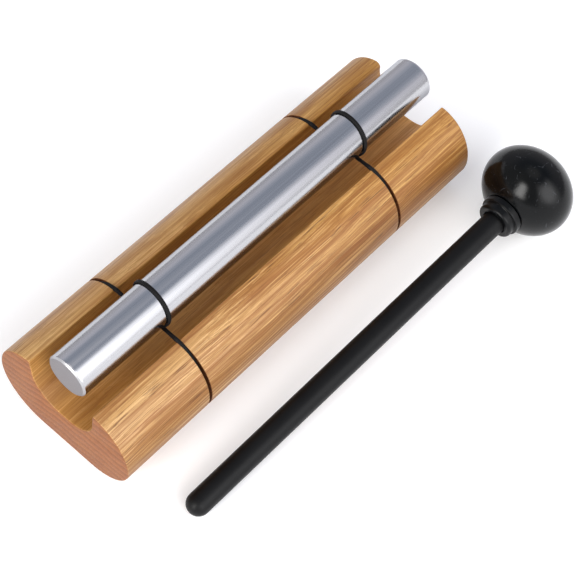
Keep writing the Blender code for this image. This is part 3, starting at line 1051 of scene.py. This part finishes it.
def elastic_material():
    """Black braided elastic cord."""
    made, graph = new_material("black_elastic")
    threads_round = 8
    thread_pitch = 1.5
    turn, along, _ = graph.split(graph.add("UVMap", uv_map="along_cord").outputs["UV"])
    turn = graph.product(turn, 2 * math.pi * threads_round)
    along = graph.product(along, 2 * math.pi / thread_pitch)
    one = graph.math("SINE", graph.math("ADD", turn, along))
    other = graph.math("SINE", graph.math("SUBTRACT", turn, along))
    weave = graph.math("MULTIPLY_ADD", graph.product(one, other), 0.5, 0.5)
    fuzz = graph.noise(graph.millimetres(), 6, 3, 0.7)
    colour = graph.mix(weave, linear(6, 6, 7), linear(22, 21, 22))
    relief = graph.math("MULTIPLY_ADD", fuzz, 0.5, weave)
    graph.surface({
        "Base Color": graph.layered(colour, [(graph.smooth(fuzz, 0.5, 0.8, 0.0, 0.4), (36, 35, 36))]),
        "Roughness": graph.smooth(weave, 0, 1, 0.85, 0.6),
        "Specular IOR Level": 0.2,
        "Normal": graph.bump(relief, 0.06 * MM, 0.6),
    })
    return made


def plastic_material():
    """Satin black moulded handle: a fine even texture with a few long faint drag marks."""
    made, graph = new_material("black_plastic")
    at = graph.millimetres()
    grain = graph.noise(at, 3.5, 3, 0.6)
    drag = graph.stretched(at, (0.7, 40, 0.7))
    cloud = graph.smooth(graph.noise(at, 0.08, 2), 0.3, 0.7)
    colour = graph.mix(cloud, linear(5, 5, 6), linear(8, 8, 9))
    graph.surface({
        "Base Color": graph.layered(colour, [(graph.smooth(grain, 0.5, 0.8, 0.0, 0.5), (15, 15, 17))]),
        "Roughness": graph.math("MULTIPLY_ADD", drag, 0.12, graph.smooth(grain, 0.3, 0.7, 0.36, 0.46)),
        "Specular IOR Level": 0.2,
        "Normal": graph.bump(grain, 0.05 * MM, 0.35),
    })
    return made


def rubber_material(name, smoothest, roughest):
    """Black moulded rubber with fine scratches and specks of dust."""
    made, graph = new_material(name)
    at = graph.millimetres()
    grain = graph.noise(at, 2.2, 3, 0.6)
    cloud = graph.noise(at, 0.12, 2)
    off_middle = graph.math("ABSOLUTE", graph.math("SUBTRACT", graph.stretched(at, (9, 14, 9), 1), 0.5))
    broken = graph.smooth(graph.stretched(at, (4, 2, 5)), 0.51, 0.63)
    scratches = graph.product(graph.smooth(off_middle, 0.0, 0.008, 1, 0), broken)
    specks = graph.smooth(graph.noise(at, 1.1, 2, 0.7), 0.68, 0.75)
    marks = graph.math("MAXIMUM", scratches, specks)
    colour = graph.mix(graph.smooth(cloud, 0.3, 0.7), linear(3, 4, 5), linear(6, 7, 8))
    rough = graph.smooth(cloud, 0.3, 0.7, smoothest, roughest)
    graph.surface({
        "Base Color": graph.layered(colour, [(graph.product(marks, 0.6), (60, 62, 66))]),
        "Roughness": graph.math("MULTIPLY_ADD", marks, 0.3, rough),
        "Specular IOR Level": 0.2,
        "Normal": graph.bump(graph.math("MULTIPLY_ADD", cloud, 2.0, grain), 0.08 * MM, 0.35),
    })
    return made


def floor_material():
    """Plain white table top, which glows a little."""
    made, graph = new_material("pale_floor")
    shade = graph.noise(graph.add("TexCoord").outputs["Object"], 3, 2)
    graph.surface({
        "Base Color": graph.mix(shade, (0.93, 0.93, 0.93, 1), (0.95, 0.95, 0.95, 1)),
        "Roughness": 0.8,
        "Specular IOR Level": 0.1,
        "Emission Color": (1, 1, 1, 1),
        "Emission Strength": 0.15,
    })
    return made


# ---------------------------------------------------------------- studio

# The room behind the chime: its light by elevation in degrees, from level to overhead
ROOM_BY_ELEVATION = [
    (0, (0.55, 0.54, 0.56)),
    (34, (0.70, 0.70, 0.77)),
    (46, (0.49, 0.52, 0.60)),
    (58, (0.33, 0.37, 0.45)),
    (70, (0.47, 0.50, 0.58)),
    (78, (1.0, 1.0, 1.02)),
    (90, (1.0, 1.0, 1.0)),
]
ROOM_IN_FRONT = (0.58, 0.58, 0.58, 1)
SOFTBOX = (2.7, 2.7, 2.74, 1)
SOFTBOX_MIDDLE = (5.0, 5.0, 5.1, 1)
SOFTBOX_MIDDLE_AT_DEG = (101, 32)  # azimuth and elevation
SOFTBOX_MIDDLE_REACH_DEG = 30
STRIP_LIGHT = (12.0, 11.9, 11.7, 1)


def direction(azimuth_deg, elevation_deg):
    """A unit vector, with the azimuth turning from +Y towards +X."""
    azimuth = math.radians(azimuth_deg)
    elevation = math.radians(elevation_deg)
    level = math.cos(elevation)
    return (math.sin(azimuth) * level, math.cos(azimuth) * level, math.sin(elevation))


def in_degrees(graph, angle):
    """An angle in radians, in degrees."""
    return graph.product(angle, 180 / math.pi)


def room_tone(graph, y, elevation):
    """The grey room: ROOM_BY_ELEVATION behind the chime and an even grey in front."""
    ramp = graph.add("ValToRGB", {"Fac": graph.math("DIVIDE", elevation, 90)})
    spots = ramp.color_ramp.elements
    for height, _ in ROOM_BY_ELEVATION[1:-1]:
        spots.new(height / 90)
    for spot, (height, shade) in zip(spots, ROOM_BY_ELEVATION):
        spot.position = height / 90
        spot.color = (*shade, 1)
    near = graph.smooth(graph.product(y, -1), -0.1, 0.5)
    near = graph.product(near, graph.smooth(elevation, 66, 76, 1, 0))
    return graph.mix(near, ramp.outputs["Color"], ROOM_IN_FRONT)


def softbox_share(graph, azimuth, elevation):
    """Where the large softbox on the right shows, its light fading out towards the back."""
    edge = graph.math("MULTIPLY_ADD", elevation, 0.2, azimuth)
    return graph.product(
        graph.smooth(edge, 54, 84),
        graph.smooth(azimuth, 84, 104, 1, 0.55),
        graph.smooth(azimuth, 130, 142, 1, 0),
        graph.smooth(elevation, 48, 66, 1, 0),
        graph.smooth(elevation, -5, 24, 0.6, 1),
    )


def strip_share(graph, x, y, elevation):
    """Where the narrow upright softbox in front shows."""
    off_front = in_degrees(graph, graph.math("ARCTAN2", x, graph.product(y, -1)))
    off_strip = graph.math("ABSOLUTE", graph.math("ADD", off_front, 1))
    return graph.product(
        graph.smooth(off_strip, 5, 15, 1, 0),
        graph.smooth(elevation, 36, 50, 1, 0),
        graph.smooth(elevation, 2, 14),
    )


def make_studio():
    """A grey room with a large softbox on the right and a narrow one in front."""
    world = bpy.data.worlds.new("studio")
    bpy.context.scene.world = world
    world.use_nodes = True
    world.node_tree.nodes.clear()
    graph = Graph(world.node_tree)
    ray = graph.add("TexCoord").outputs["Generated"]
    x, y, z = graph.split(ray)
    azimuth = in_degrees(graph, graph.math("ARCTAN2", x, y))
    elevation = in_degrees(graph, graph.math("ARCSINE", z))
    middle = graph.vector_math("DOT_PRODUCT", ray, direction(*SOFTBOX_MIDDLE_AT_DEG))
    middle = graph.smooth(middle, math.cos(math.radians(SOFTBOX_MIDDLE_REACH_DEG)), 1)
    tone = graph.mix(softbox_share(graph, azimuth, elevation), room_tone(graph, y, elevation), SOFTBOX)
    tone = graph.mix(middle, tone, SOFTBOX_MIDDLE)
    tone = graph.mix(strip_share(graph, x, y, elevation), tone, STRIP_LIGHT)
    background = graph.add("Background", {"Color": tone, "Strength": 1.0})
    graph.add("OutputWorld", {"Surface": background.outputs[0]})


def make_floor():
    """The floor, level with the block's underside."""
    half = 4.0
    corners = [(-half, -half, 0), (half, -half, 0), (half, half, 0), (-half, half, 0)]
    floor = new_piece("studio_floor", corners, [(0, 1, 2, 3)])
    floor.location.z = CAD_BOX[0].z
    floor.data.materials.append(floor_material())


def make_camera():
    """The camera: looking down at the chime from its near right, turned slightly about its line of sight."""
    data = bpy.data.cameras.new("camera")
    data.lens = CAMERA_LENS_MM
    data.sensor_width = CAMERA_SENSOR_MM
    camera = bpy.data.objects.new("camera", data)
    bpy.context.scene.collection.objects.link(camera)
    azimuth = math.radians(CAMERA_AZIMUTH_DEG)
    back = Vector(direction(180 - CAMERA_AZIMUTH_DEG, CAMERA_ELEVATION_DEG))
    level = Vector((math.cos(azimuth), math.sin(azimuth), 0))
    upright = back.cross(level)
    roll = math.radians(CAMERA_ROLL_DEG)
    right = level * math.cos(roll) + upright * math.sin(roll)
    up = upright * math.cos(roll) - level * math.sin(roll)
    turn = Matrix((right, up, back)).transposed().to_4x4()
    camera.matrix_world = Matrix.Translation(CAMERA_TARGET + back * CAMERA_DISTANCE) @ turn
    bpy.context.scene.camera = camera
    bpy.context.scene.view_settings.view_transform = "Standard"


# ---------------------------------------------------------------- the chime

make_camera()
make_studio()
make_floor()
make_block(wood_material(), kerf_scorch_and_shade_material())
make_rod(aluminium_material())
elastic = elastic_material()
for end in ENDS:
    make_cord(end, elastic)
    make_knot(end, elastic)
axis = mallet_axis()
make_handle(axis, plastic_material())
make_head(axis, rubber_material("black_rubber", 0.10, 0.17))
make_collar(axis, rubber_material("matt_black_rubber", 0.28, 0.38))
